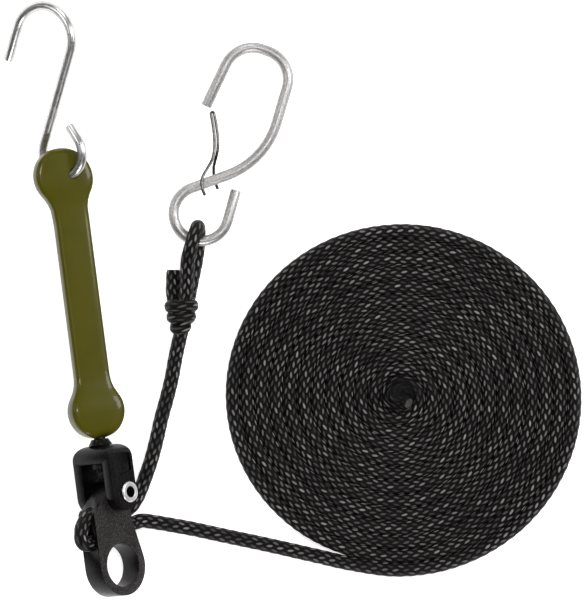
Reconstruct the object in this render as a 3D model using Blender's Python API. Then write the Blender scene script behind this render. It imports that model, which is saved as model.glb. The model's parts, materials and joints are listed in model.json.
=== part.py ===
# Elastic rope tie-down kit, laid out flat: wire S-hook, moulded stretch strap, rope lock
# with a ringed lever, braided rope with a snap hook on its knotted lead, and the spare
# rope wound into a flat coil. Metres, +Z up, +Y from the lock towards the S-hook.
# The origin is the middle of the coil's underside, on the ground.
import math

import bmesh
import bpy
from mathutils import Matrix, Vector

MM = 0.001
GAP = 0.3 * MM                  # air kept between solids that touch in the real thing

# Strap, stud and lock share one straight chain axis
CHAIN_POINT = (-130.0 * MM, -40.7 * MM, 13.7 * MM)   # where the axis passes the lever pivot
CHAIN_TILT = math.radians(7.4)
LOCK_TURN = math.radians(45)    # lock rolled about the chain axis
STRAP_TURN = math.radians(20)   # strap rolled about the chain axis, on its swivel

# Rope
ROPE_D = 6.3 * MM
ROPE_HEIGHT = ROPE_D / 2 + 0.1 * MM   # centre of rope lying on the ground
ROPE_STEP = 13 * MM                   # spacing of the tube's points

# Coil: one flat layer, wound inwards counter-clockwise
COIL_START_R = 76.3 * MM
COIL_PITCH = 6.3 * MM
COIL_CENTRE = (-1.1 * MM, 2.0 * MM)
COIL_START_ANGLE = math.radians(255)
COIL_OVAL = 1.03                # slightly longer along X
COIL_POINTS = 96

# Stretch strap
STRAP_L = 128.8 * MM
BAND_W = 15.6 * MM
BAND_T = 6.4 * MM
HEAD_R = 13.1 * MM
HEAD_LEAN = math.radians(4)      # the head hangs a little to the left on its neck
HEAD_T = 7.6 * MM
FOOT_R = 12.3 * MM
FOOT_T = 10.5 * MM
SHOULDER_R = 16.0 * MM          # hollow curve from each end into the band
HOOK_PLAY_W = 8.3 * MM          # the hook hole is this much larger than the hook's wire
HOOK_PLAY_H = 4.6 * MM
HOOK_HOLE_BELOW_TOP = 11.2 * MM

# Swivel stud, turned about the chain axis
STUD_R = 2.6 * MM
STUD_NECK_R = 3.9 * MM
STUD_FLARE_R = 5.4 * MM
STUD_FLARE_H = 2.2 * MM
STUD_ANCHOR_R = 4.2 * MM
STUD_ANCHOR_H = 3.0 * MM
STUD_IN_FOOT = 7.0 * MM
STUD_HEAD_R = 3.7 * MM
STUD_HEAD_H = 1.3 * MM
RETAINER_R = 5.0 * MM
RETAINER_H = 2.2 * MM
NECK_H = 3.0 * MM               # housing top to strap foot

# Lock housing: a clevis. X is its back, Y up the chain, Z across the cheeks
HOUSING_W = 23.4 * MM
HOUSING_D = 14.0 * MM
HOUSING_TOP = 21.8 * MM
CHEEK_T = 4.8 * MM
CROWN_T = 7.8 * MM
SHOULDER_ACROSS_R = 6.5 * MM
SHOULDER_DEPTH_R = 4.5 * MM
EAR_END_Y = -7.8 * MM
PANEL_X = 1.4 * MM              # recess in each cheek above the rivet's boss
PANEL_W = 8.1 * MM
PANEL_DEPTH = 1.2 * MM
PANEL_LOW_Y = 7.2 * MM
PANEL_TOP_Y = 17.3 * MM
PANEL_RISE = 2.4 * MM           # how far its lower edge climbs towards the back

# Tubular pivot rivet, on the lever's axis
PIVOT_X = 2.2 * MM
RIVET_R = 3.2 * MM
RIVET_HOLLOW_R = 2.5 * MM
RIVET_HOLLOW_L = 7.0 * MM
RIVET_HEAD_R = 4.6 * MM
RIVET_HEAD_T = 1.0 * MM

# Lever: hub on the rivet, rope passages, finger ring
HUB_R = 6.0 * MM
LEVER_T = 10.2 * MM
LEVER_FRONT_X = -14.0 * MM
LEVER_FRONT_TOP_Y = -5.2 * MM
RING_CENTRE = (-0.6 * MM, -31.6 * MM)
RING_R = 13.4 * MM
RING_HOLE_R = 9.6 * MM
PASSAGE_CLEAR = 0.45 * MM
UPPER_PASS_Y = -8.1 * MM
LOWER_PASS_BACK_Y = -14.9 * MM
LOWER_PASS_FRONT_Y = -20.2 * MM
GROOVE_FLOOR_X = -11.0 * MM

# S-hook of round wire, in its own plane about the centre of its lower loop, on the chain axis
S_WIRE_D = 4.2 * MM
S_BELOW_TOP = 2.44 * MM          # loop's centre, below the strap's top end
S_TILT = math.radians(3.6)
S_TURN = math.radians(-34)
S_SHANK_HEADING = 58
S_LOOP_R = 10.5 * MM
S_LOOP_SWEEP = 237
S_LOOP_TIP = 7.5 * MM
S_SHANK_L = 43.9 * MM
S_BOW_R = 14.8 * MM
S_BOW_TIP = 16.0 * MM

# Snap hook of round wire, in its own plane about the centre of its lower loop
SNAP_WIRE_D = 4.6 * MM
SNAP_CENTRE = (-88.7 * MM, 82.7 * MM, 8.1 * MM)
SNAP_PITCH = math.radians(-4.0)
SNAP_SHANK_HEADING = 19.7
SNAP_LOOP_R = 12.1 * MM
SNAP_LOOP_SWEEP = 235
SNAP_LOOP_TIP = 14.0 * MM
SNAP_SHANK_L = 16.5 * MM

# Hairpin wire gate, hinged across the snap hook's shank
GATE_WIRE_D = 1.25 * MM
GATE_PIVOT = (3.8 * MM, 14.2 * MM)


def new_material(name, colour, roughness, metallic):
    material = bpy.data.materials.new(name)
    material.use_nodes = True
    shader = material.node_tree.nodes["Principled BSDF"]
    shader.inputs["Base Color"].default_value = (*colour, 1.0)
    shader.inputs["Roughness"].default_value = roughness
    shader.inputs["Metallic"].default_value = metallic
    return material


def add_object(name, data, parent, location=(0, 0, 0), rotation=(0, 0, 0), material=None):
    obj = bpy.data.objects.new(name, data)
    bpy.context.scene.collection.objects.link(obj)
    obj.parent = parent
    obj.location = location
    obj.rotation_euler = rotation
    if material is not None:
        data.materials.append(material)
    return obj


def as_cutter(obj):
    obj.hide_render = True
    obj.display_type = "WIRE"
    return obj


def boolean(obj, cutter, operation="DIFFERENCE"):
    modifier = obj.modifiers.new(cutter.name, "BOOLEAN")
    modifier.object = as_cutter(cutter)
    modifier.operation = operation
    modifier.solver = "EXACT"


def finish_mesh(name, bm, smooth=True):
    bmesh.ops.recalc_face_normals(bm, faces=bm.faces)
    mesh = bpy.data.meshes.new(name)
    bm.to_mesh(mesh)
    bm.free()
    if smooth:
        mesh.shade_smooth()
        mesh.set_sharp_from_angle(angle=math.radians(35))
    return mesh


def arc(centre, radius, start, end, count):
    """Points of an arc from start to end degrees, both ends included."""
    angles = [math.radians(start + (end - start) * i / count) for i in range(count + 1)]
    return [(centre[0] + radius * math.cos(a), centre[1] + radius * math.sin(a)) for a in angles]


def prism(name, outline, low, high):
    """A closed outline in XY, extruded from low to high along Z."""
    bm = bmesh.new()
    face = bm.faces.new([bm.verts.new((x, y, low)) for x, y in outline])
    extruded = bmesh.ops.extrude_face_region(bm, geom=[face])["geom"]
    top = [v for v in extruded if isinstance(v, bmesh.types.BMVert)]
    bmesh.ops.translate(bm, verts=top, vec=(0, 0, high - low))
    return finish_mesh(name, bm)


def box(name, low, high):
    corners = [(low[0], low[1]), (high[0], low[1]), (high[0], high[1]), (low[0], high[1])]
    return prism(name, corners, low[2], high[2])


def turned(name, profile, sides=32):
    """A profile of (radius, z), turned about Z. Radius 0 at both ends, or a closed ring."""
    bm = bmesh.new()
    rings = []
    for radius, z in profile:
        count = sides if radius > 0 else 1
        turns = [2 * math.pi * i / sides for i in range(count)]
        rings.append([bm.verts.new((radius * math.cos(t), radius * math.sin(t), z)) for t in turns])
    pairs = list(zip(rings, rings[1:]))
    if profile[0][0] > 0:
        pairs.append((rings[-1], rings[0]))
    for lower, upper in pairs:
        for i in range(sides):
            j = (i + 1) % sides
            corners = [lower[i % len(lower)], lower[j % len(lower)],
                       upper[j % len(upper)], upper[i % len(upper)]]
            bm.faces.new(list(dict.fromkeys(corners)))
    return finish_mesh(name, bm)


def tube(name, points, diameter, resolution):
    """A round bar along the points, with flat closed ends."""
    curve = bpy.data.curves.new(name, "CURVE")
    curve.dimensions = "3D"
    curve.bevel_depth = diameter / 2
    curve.bevel_resolution = resolution
    curve.use_fill_caps = True
    curve.render_resolution_u = 0
    spline = curve.splines.new("POLY")
    spline.points.add(len(points) - 1)
    for point, place in zip(spline.points, points):
        point.co = (*place, 1.0)
    spline.use_smooth = True
    return curve


def smooth_route(points, step):
    """A smooth curve through the points, read off about every step."""
    route = [Vector(p) for p in points]
    ends = [2 * route[0] - route[1]] + route + [2 * route[-1] - route[-2]]
    result = [route[0]]
    for a, b, c, d in zip(ends, ends[1:], ends[2:], ends[3:]):
        count = max(1, round((c - b).length / step))
        for i in range(1, count + 1):
            t = i / count
            result.append(0.5 * (2 * b + (c - a) * t + (2 * a - 5 * b + 4 * c - d) * t * t
                                 + (3 * b - a - 3 * c + d) * t ** 3))
    return result


def bent_wire(loop_radius, loop_sweep, loop_tip, heading, steps):
    """Centre line of a flat wire form. It starts with a loop about the origin, which it
    leaves along heading, then takes each step: a straight length, or (turn, radius)."""
    leave = heading + 90
    start = leave + loop_sweep
    inward = math.radians(start - 90)
    tip = (loop_radius * math.cos(math.radians(start)) - loop_tip * math.cos(inward),
           loop_radius * math.sin(math.radians(start)) - loop_tip * math.sin(inward))
    points = [tip] + arc((0, 0), loop_radius, start, leave, round(loop_sweep / 10))
    for step in steps:
        x, y = points[-1]
        if isinstance(step, tuple):
            turn, radius = step
            side = math.copysign(90, turn)
            normal = math.radians(heading + side)
            centre = (x + radius * math.cos(normal), y + radius * math.sin(normal))
            first = heading - side
            points += arc(centre, radius, first, first + turn, max(3, round(abs(turn) / 9)))[1:]
            heading += turn
        else:
            along = math.radians(heading)
            points.append((x + step * math.cos(along), y + step * math.sin(along)))
    return [(x, y, 0) for x, y in points]


def tangent_point(point, centre, radius):
    """Where a line from point touches the circle, on the circle's right-hand side."""
    dx = point[0] - centre[0]
    dy = point[1] - centre[1]
    angle = math.atan2(dy, dx) - math.acos(radius / math.hypot(dx, dy))
    return math.degrees(angle)


def strap_end(end_radius):
    """Right-hand side of a strap end: round end, then a hollow shoulder into the band.
    Measured up from the end's tip at y = 0."""
    shoulder_x = BAND_W / 2 + SHOULDER_R
    rise = math.sqrt((end_radius + SHOULDER_R) ** 2 - shoulder_x ** 2)
    lean = math.degrees(math.atan2(rise, shoulder_x))
    lower = arc((0, end_radius), end_radius, -90, lean, 14)
    upper = arc((shoulder_x, end_radius + rise), SHOULDER_R, 180 + lean, 180, 6)[1:]
    return lower + upper


def end_outline(end_radius, band_y):
    """Whole outline of a strap end, tip at y = 0 and cut square at band_y."""
    right = strap_end(end_radius)
    right.append((BAND_W / 2, band_y))
    left = [(-x, y) for x, y in reversed(right[1:])]
    return right + left


def band_start(end_radius):
    """Height above the tip at which an end's shoulder has become the straight band."""
    half = BAND_W / 2
    reach = end_radius + SHOULDER_R
    return end_radius + math.sqrt(reach ** 2 - (half + SHOULDER_R) ** 2) + 1.0 * MM


def spiral(turn, extra=0.0):
    """Point on the coil's rope centre line, turn radians after its start."""
    radius = COIL_START_R - COIL_PITCH * turn / (2 * math.pi) + extra
    angle = COIL_START_ANGLE + turn
    return (COIL_CENTRE[0] + COIL_OVAL * radius * math.cos(angle),
            COIL_CENTRE[1] + radius * math.sin(angle))


def lock_point(x, y):
    """World place of a point in the lock's middle plane."""
    frame = (Matrix.Translation(CHAIN_POINT) @ Matrix.Rotation(CHAIN_TILT, 4, "Z")
             @ Matrix.Rotation(LOCK_TURN, 4, "Y"))
    return tuple(frame @ Vector((x, y, 0)))


for old in list(bpy.data.objects):
    bpy.data.objects.remove(old)

zinc = new_material("zinc_wire", (0.72, 0.72, 0.70), 0.35, 1.0)
galvanised = new_material("galvanised_wire", (0.62, 0.62, 0.60), 0.45, 1.0)
spring_steel = new_material("spring_wire", (0.55, 0.55, 0.53), 0.35, 1.0)
strap_olive = new_material("strap_olive", (0.085, 0.08, 0.010), 0.25, 0.0)
nylon = new_material("nylon_black", (0.012, 0.012, 0.012), 0.45, 0.0)
steel = new_material("rivet_steel", (0.70, 0.70, 0.70), 0.3, 1.0)
rope_black = new_material("rope_black", (0.015, 0.014, 0.014), 0.7, 0.0)

chain_axis = add_object("chain_axis", None, None, CHAIN_POINT, (0, 0, CHAIN_TILT))
lock_axis = add_object("lock_axis", None, chain_axis, rotation=(0, LOCK_TURN, 0))
foot_y = HOUSING_TOP + NECK_H
strap_axis = add_object("strap_axis", None, chain_axis, (0, foot_y, 0), (0, STRAP_TURN, 0))
snap_axis = add_object("snap_axis", None, None, SNAP_CENTRE, (SNAP_PITCH, 0, 0))

# ---- Stretch strap: one moulding, in three solids so that it can stretch
foot_top = band_start(FOOT_R)
head_low = STRAP_L - band_start(HEAD_R)

foot = add_object("strap_foot", prism("strap_foot", end_outline(FOOT_R, foot_top),
                                      -FOOT_T / 2, FOOT_T / 2), strap_axis, material=strap_olive)
pocket_profile = [(0, -1 * MM), (STUD_R + GAP, -1 * MM), (STUD_R + GAP, STUD_IN_FOOT - STUD_ANCHOR_H - GAP),
                  (STUD_ANCHOR_R + GAP, STUD_IN_FOOT - STUD_ANCHOR_H - GAP),
                  (STUD_ANCHOR_R + GAP, STUD_IN_FOOT + GAP), (0, STUD_IN_FOOT + GAP)]
pocket = add_object("foot_pocket", turned("foot_pocket", pocket_profile), strap_axis,
                    rotation=(-math.pi / 2, 0, 0))
boolean(foot, pocket)

band_outline = [(-BAND_W / 2, foot_top + GAP), (BAND_W / 2, foot_top + GAP),
                (BAND_W / 2, head_low - GAP), (-BAND_W / 2, head_low - GAP)]
add_object("strap_band", prism("strap_band", band_outline, -BAND_T / 2, BAND_T / 2),
           strap_axis, material=strap_olive)

lean_slope = math.tan(HEAD_LEAN)
head_outline = [(-x - lean_slope * (STRAP_L - y - head_low), STRAP_L - y)
                for x, y in end_outline(HEAD_R, STRAP_L - head_low)]
head = add_object("strap_head", prism("strap_head", head_outline, -HEAD_T / 2, HEAD_T / 2),
                  strap_axis, material=strap_olive)
hole_y = STRAP_L - HOOK_HOLE_BELOW_TOP
hole_end_r = (S_WIRE_D + HOOK_PLAY_H) / 2
hole_run = (HOOK_PLAY_W - HOOK_PLAY_H) / 2
hole_outline = (arc((hole_run, hole_y), hole_end_r, -90, 90, 8)
                + arc((-hole_run, hole_y), hole_end_r, 90, 270, 8))
hook_hole = add_object("hook_hole", prism("hook_hole", hole_outline, -HEAD_T, HEAD_T), strap_axis)
boolean(head, hook_hole)

# ---- Swivel stud: anchored in the foot, turns in the housing crown
crown_low = HOUSING_TOP - CROWN_T
retainer_low = crown_low - GAP - RETAINER_H
head_top = retainer_low - GAP
flare_low = HOUSING_TOP + GAP
stud_profile = [
    (0, head_top - STUD_HEAD_H), (STUD_HEAD_R, head_top - STUD_HEAD_H), (STUD_HEAD_R, head_top),
    (STUD_R, head_top), (STUD_R, flare_low), (STUD_FLARE_R, flare_low),
    (STUD_NECK_R, flare_low + STUD_FLARE_H), (STUD_NECK_R, foot_y - GAP), (STUD_R, foot_y - GAP),
    (STUD_R, foot_y + STUD_IN_FOOT - STUD_ANCHOR_H),
    (STUD_ANCHOR_R, foot_y + STUD_IN_FOOT - STUD_ANCHOR_H),
    (STUD_ANCHOR_R, foot_y + STUD_IN_FOOT), (0, foot_y + STUD_IN_FOOT)]
add_object("swivel_stud", turned("swivel_stud", stud_profile), chain_axis,
           rotation=(-math.pi / 2, 0, 0), material=nylon)
retainer_profile = [(STUD_R + GAP, retainer_low), (RETAINER_R, retainer_low),
                    (RETAINER_R, retainer_low + RETAINER_H), (STUD_R + GAP, retainer_low + RETAINER_H)]
add_object("stud_retainer", turned("stud_retainer", retainer_profile), chain_axis,
           rotation=(-math.pi / 2, 0, 0), material=steel)

# ---- Lock housing: crown and two cheeks, shaped from the front and from the side
half_w = HOUSING_W / 2
half_d = HOUSING_D / 2
ear_centre_y = EAR_END_Y + half_d
side_outline = (arc((0, ear_centre_y), half_d, 180, 360, 16)
                + arc((half_d - SHOULDER_DEPTH_R, HOUSING_TOP - SHOULDER_DEPTH_R),
                      SHOULDER_DEPTH_R, 0, 90, 5)
                + arc((SHOULDER_DEPTH_R - half_d, HOUSING_TOP - SHOULDER_DEPTH_R),
                      SHOULDER_DEPTH_R, 90, 180, 5))
housing = add_object("lock_housing", prism("lock_housing", side_outline, -half_w, half_w),
                     lock_axis, material=nylon)

front_low = EAR_END_Y - 2 * MM
front_outline = ([(-half_w, front_low), (half_w, front_low)]
                 + arc((half_w - SHOULDER_ACROSS_R, HOUSING_TOP - SHOULDER_ACROSS_R),
                       SHOULDER_ACROSS_R, 0, 90, 7)
                 + arc((SHOULDER_ACROSS_R - half_w, HOUSING_TOP - SHOULDER_ACROSS_R),
                       SHOULDER_ACROSS_R, 90, 180, 7))
front_shape = add_object("housing_front_shape",
                         prism("housing_front_shape", front_outline, -HOUSING_D, HOUSING_D),
                         lock_axis, rotation=(0, math.pi / 2, 0))
boolean(housing, front_shape, "INTERSECT")

slot_half = half_w - CHEEK_T
slot = add_object("housing_slot", box("housing_slot", (-HOUSING_D, EAR_END_Y - 9 * MM, -slot_half),
                                      (HOUSING_D, crown_low, slot_half)), lock_axis)
boolean(housing, slot)

crown_bore = add_object("crown_bore", turned("crown_bore", [
    (0, crown_low - 2 * MM), (STUD_R + GAP, crown_low - 2 * MM),
    (STUD_R + GAP, HOUSING_TOP + 2 * MM), (0, HOUSING_TOP + 2 * MM)]),
    lock_axis, rotation=(-math.pi / 2, 0, 0))
boolean(housing, crown_bore)

rivet_bore_mesh = turned("rivet_bore", [(0, -HOUSING_W), (RIVET_R + GAP, -HOUSING_W),
                                        (RIVET_R + GAP, HOUSING_W), (0, HOUSING_W)])
housing_bore = add_object("housing_bore", rivet_bore_mesh, lock_axis, (PIVOT_X, 0, 0))
boolean(housing, housing_bore)

panel_front = PANEL_X - PANEL_W / 2
panel_back = PANEL_X + PANEL_W / 2
panel_outline = [(panel_front, PANEL_LOW_Y), (panel_back, PANEL_LOW_Y + PANEL_RISE),
                 (panel_back, PANEL_TOP_Y), (panel_front, PANEL_TOP_Y)]
for side, face_z in (("far", -half_w), ("near", half_w)):
    panel = add_object("cheek_panel_" + side, prism("cheek_panel", panel_outline, face_z - PANEL_DEPTH,
                                                    face_z + PANEL_DEPTH), lock_axis)
    boolean(housing, panel)

# ---- Pivot rivet, hollow at its near end, and the washer it is clinched over
near_face = half_w + GAP
far_face = -half_w - GAP
rivet_profile = [(0, far_face - RIVET_HEAD_T), (RIVET_R, far_face - RIVET_HEAD_T),
                 (RIVET_R, near_face), (RIVET_HEAD_R, near_face),
                 (RIVET_HEAD_R, near_face + RIVET_HEAD_T * 0.6),
                 (RIVET_HEAD_R - 0.5 * MM, near_face + RIVET_HEAD_T),
                 (RIVET_HOLLOW_R, near_face + RIVET_HEAD_T),
                 (RIVET_HOLLOW_R, near_face + RIVET_HEAD_T - RIVET_HOLLOW_L),
                 (0, near_face + RIVET_HEAD_T - RIVET_HOLLOW_L)]
add_object("pivot_rivet", turned("pivot_rivet", rivet_profile), lock_axis, (PIVOT_X, 0, 0),
           material=steel)
washer_profile = [(RIVET_R + GAP, far_face - RIVET_HEAD_T), (RIVET_HEAD_R, far_face - RIVET_HEAD_T),
                  (RIVET_HEAD_R, far_face), (RIVET_R + GAP, far_face)]
add_object("rivet_washer", turned("rivet_washer", washer_profile), lock_axis, (PIVOT_X, 0, 0),
           material=steel)

# ---- Lever: its origin is on the rivet's axis
back_x = PIVOT_X + HUB_R
back_low = (back_x, UPPER_PASS_Y - 4 * MM)
touch = tangent_point(back_low, RING_CENTRE, RING_R)
corner = 3.0 * MM
lever_outline = (arc((PIVOT_X, 0), HUB_R, 0, 112, 10)
                 + arc((LEVER_FRONT_X + corner, LEVER_FRONT_TOP_Y - corner), corner, 100, 180, 5)
                 + arc(RING_CENTRE, RING_R, 180, 360 + touch, 26) + [back_low])
lever_outline = [(x - PIVOT_X, y) for x, y in lever_outline]
lever = add_object("lock_lever", prism("lock_lever", lever_outline, -LEVER_T / 2, LEVER_T / 2),
                   lock_axis, (PIVOT_X, 0, 0), material=nylon)

hub_outline = arc((0, 0), HUB_R - 0.2 * MM, 0, 345, 23)   # just inside the lever's own round top
hub_half = slot_half - GAP
hub = add_object("lever_hub", prism("lever_hub", hub_outline, -hub_half, hub_half),
                 lock_axis, (PIVOT_X, 0, 0))
boolean(lever, hub, "UNION")
lever_bore = add_object("lever_bore", rivet_bore_mesh, lock_axis, (PIVOT_X, 0, 0))
boolean(lever, lever_bore)
ring_hole = add_object("ring_hole", prism("ring_hole", arc(RING_CENTRE, RING_HOLE_R, 0, 351, 39),
                                          -HOUSING_W, HOUSING_W), lock_axis)
boolean(lever, ring_hole)

passage_r = ROPE_D / 2 + PASSAGE_CLEAR
passage_x = 20 * MM
passage_mesh = turned("passage", [(0, -passage_x), (passage_r, -passage_x),
                                  (passage_r, passage_x), (0, passage_x)], sides=20)
upper_passage = add_object("upper_passage", passage_mesh, lock_axis, (0, UPPER_PASS_Y, 0),
                           (0, math.pi / 2, 0))
boolean(lever, upper_passage)
pass_run = back_x - LEVER_FRONT_X
pass_rise = LOWER_PASS_BACK_Y - LOWER_PASS_FRONT_Y
lower_passage = add_object("lower_passage", passage_mesh, lock_axis,
                           ((back_x + LEVER_FRONT_X) / 2,
                            (LOWER_PASS_BACK_Y + LOWER_PASS_FRONT_Y) / 2, 0),
                           (0, math.pi / 2, math.atan2(pass_rise, pass_run)))
boolean(lever, lower_passage)
groove = add_object("rope_groove", box("rope_groove",
                                       (2 * LEVER_FRONT_X, LOWER_PASS_FRONT_Y, -passage_r),
                                       (GROOVE_FLOOR_X, UPPER_PASS_Y, passage_r)), lock_axis)
boolean(lever, groove)

# ---- Rope wrapped through the lever
rope_out_x = back_x + GAP
slope = pass_rise / pass_run
wrap_route = [(rope_out_x, UPPER_PASS_Y, 0), (0, UPPER_PASS_Y, 0), (-10 * MM, UPPER_PASS_Y, 0),
              (-14 * MM, UPPER_PASS_Y - 1.2 * MM, 0), (-17.2 * MM, UPPER_PASS_Y - 4.2 * MM, 0),
              (-18.6 * MM, UPPER_PASS_Y - 8.2 * MM, 0), (-17.9 * MM, LOWER_PASS_FRONT_Y + 0.6 * MM, 0),
              (LEVER_FRONT_X, LOWER_PASS_FRONT_Y, 0),
              (-3 * MM, LOWER_PASS_FRONT_Y + slope * 12 * MM, 0),
              (rope_out_x, LOWER_PASS_BACK_Y + slope * GAP, 0)]
add_object("rope_lock_wrap", tube("rope_lock_wrap", smooth_route(wrap_route, 3 * MM), ROPE_D, 3),
           lock_axis, material=rope_black)

# ---- Rope outside the lock, in world coordinates: lead up to the knot, tail to the coil
low = ROPE_HEIGHT
start_x = rope_out_x + GAP
entry_route = [lock_point(start_x, UPPER_PASS_Y), lock_point(start_x + 2 * MM, UPPER_PASS_Y),
               (-118.7 * MM, -45.1 * MM, 4.7 * MM),
               (-116.4 * MM, -41.2 * MM, 3.6 * MM), (-114.6 * MM, -36.8 * MM, low),
               (-112.7 * MM, -31.6 * MM, low)]
lead_route = [(-112.6 * MM, -31.3 * MM, low), (-110.9 * MM, -26.4 * MM, low),
              (-109.3 * MM, -20.6 * MM, low), (-107.8 * MM, -14.4 * MM, low),
              (-106.2 * MM, -7.2 * MM, low), (-103.9 * MM, 1.2 * MM, low),
              (-101.7 * MM, 10.2 * MM, low), (-100.0 * MM, 19.5 * MM, 3.8 * MM),
              (-98.2 * MM, 27.6 * MM, 5.6 * MM)]
exit_y = LOWER_PASS_BACK_Y + 2 * slope * GAP
exit_route = [lock_point(start_x, exit_y), lock_point(start_x + 2 * MM, exit_y + slope * 2 * MM),
              (-118.3 * MM, -53.5 * MM, 4.3 * MM),
              (-115.0 * MM, -52.5 * MM, 3.5 * MM), (-111.0 * MM, -52.9 * MM, low),
              (-104.3 * MM, -54.0 * MM, low)]
coil_join = spiral(0)
tail_route = [(-104.0 * MM, -54.05 * MM, low), (-93.1 * MM, -56.0 * MM, low),
              (-78.2 * MM, -59.2 * MM, low), (-57.9 * MM, -63.5 * MM, low),
              (-38.6 * MM, -67.9 * MM, low), (coil_join[0] - 2 * GAP, coil_join[1] - GAP, low)]
for name, route in (("rope_lead_entry", entry_route), ("rope_lead", lead_route),
                    ("rope_tail_exit", exit_route), ("rope_tail", tail_route)):
    step = 3 * MM if name in ("rope_lead_entry", "rope_tail_exit") else ROPE_STEP
    add_object(name, tube(name, smooth_route(route, step), ROPE_D, 3), None, material=rope_black)

# ---- Coil: the outer shape of the winding, with a step where the tail joins it
half_rope = ROPE_D / 2
rim = [spiral(2 * math.pi * i / COIL_POINTS, half_rope) for i in range(COIL_POINTS + 1)]
step_foot = spiral(0, -half_rope)
add_object("rope_coil", prism("rope_coil", rim + [step_foot], 0, ROPE_D), None,
           material=rope_black)

# ---- Knotted eye round the snap hook, and the cut end beside it
knot_low = Vector((-97.7 * MM, 28.3 * MM, 7.4 * MM))
knot_profile = [(0, 0), (3.8 * MM, 0), (5.2 * MM, 3 * MM), (6.0 * MM, 7 * MM), (7.2 * MM, 11 * MM),
                (7.4 * MM, 15 * MM), (5.6 * MM, 18 * MM), (0, 18 * MM)]
knot_lean = math.radians(-7)
add_object("rope_knot", turned("rope_knot", knot_profile, sides=20), None, knot_low,
           (-math.pi / 2, 0, knot_lean), material=rope_black)

eye_route = [(-95.3 * MM, 47.0 * MM, 10.3 * MM), (-94.8 * MM, 54.0 * MM, 11.6 * MM),
             (-94.5 * MM, 62.0 * MM, 13.6 * MM), (-92.6 * MM, 69.6 * MM, 14.7 * MM),
             (-90.9 * MM, 74.8 * MM, 13.1 * MM), (-90.2 * MM, 76.9 * MM, 8.9 * MM),
             (-89.9 * MM, 75.4 * MM, 4.4 * MM), (-90.0 * MM, 69.4 * MM, low),
             (-91.0 * MM, 62.0 * MM, low), (-92.6 * MM, 54.0 * MM, low),
             (-94.0 * MM, 47.0 * MM, low)]
add_object("rope_eye", tube("rope_eye", smooth_route(eye_route, 3 * MM), ROPE_D, 3), None,
           material=rope_black)
cut_route = [(-101.0 * MM, 47.4 * MM, 4.6 * MM), (-101.0 * MM, 52 * MM, 4.0 * MM),
             (-100.9 * MM, 58.2 * MM, 3.9 * MM)]
add_object("rope_cut_end", tube("rope_cut_end", smooth_route(cut_route, 4 * MM), ROPE_D, 3), None,
           material=rope_black)

# ---- S-hook: its origin is the centre of the loop that slides through the strap head
s_path = bent_wire(S_LOOP_R, S_LOOP_SWEEP, S_LOOP_TIP, S_SHANK_HEADING,
                   [S_SHANK_L, (180, S_BOW_R), S_BOW_TIP])
add_object("s_hook", tube("s_hook", s_path, S_WIRE_D, 4), chain_axis,
           (0, foot_y + STRAP_L - S_BELOW_TOP, 0), (0, S_TURN, S_TILT), zinc)

# ---- Snap hook: its origin is the centre of the loop that hangs in the rope eye
snap_path = bent_wire(SNAP_LOOP_R, SNAP_LOOP_SWEEP, SNAP_LOOP_TIP, SNAP_SHANK_HEADING,
                      [SNAP_SHANK_L, (54, 35 * MM), 16.2 * MM, (86, 13.2 * MM), 2.5 * MM,
                       (85, 13.2 * MM), 20.3 * MM])
add_object("snap_hook", tube("snap_hook", snap_path, SNAP_WIRE_D, 4), snap_axis,
           material=galvanised)

# ---- Gate: its origin is its hinge across the shank
over = (SNAP_WIRE_D / 2 + GATE_WIRE_D / 2 + 2 * GAP) / MM
near_leg = [(1.7, 7.9, over - 0.8), (0.6, 10.6, over), (0.2, 13.2, over), (0.8, 16.2, over - 0.6)]
near_side = [(3.2, 20.6, 1.6), (5.0, 24.0, 0.9), (5.75, 28.0, 0.4), (5.85, 33.0, 0.2), (5.2, 39.0, 0.1)]
gate_tip = [(x, y, 0) for x, y in arc((4.97, 44.2), 0.72, 180, 0, 4)]
far_side = [(6.7, 39.0, -0.1), (7.4, 33.0, -0.2), (7.25, 28.0, -0.4), (6.3, 24.0, -0.9), (5.5, 20.6, -1.6)]
far_leg = [(5.5, 18.4, 0.6 - over), (5.9, 15.9, -over), (6.5, 13.2, -over), (7.3, 11.2, 0.8 - over)]
pivot_x, pivot_y = GATE_PIVOT
gate_route = [(x * MM - pivot_x, y * MM - pivot_y, z * MM)
              for x, y, z in near_leg + near_side + gate_tip + far_side + far_leg]
add_object("snap_gate", tube("snap_gate", smooth_route(gate_route, 2 * MM), GATE_WIRE_D, 2),
           snap_axis, (pivot_x, pivot_y, 0), material=spring_steel)
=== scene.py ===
import json
import math

import bmesh
import bpy
import numpy as np
from mathutils import Euler, Matrix, Vector

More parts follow.
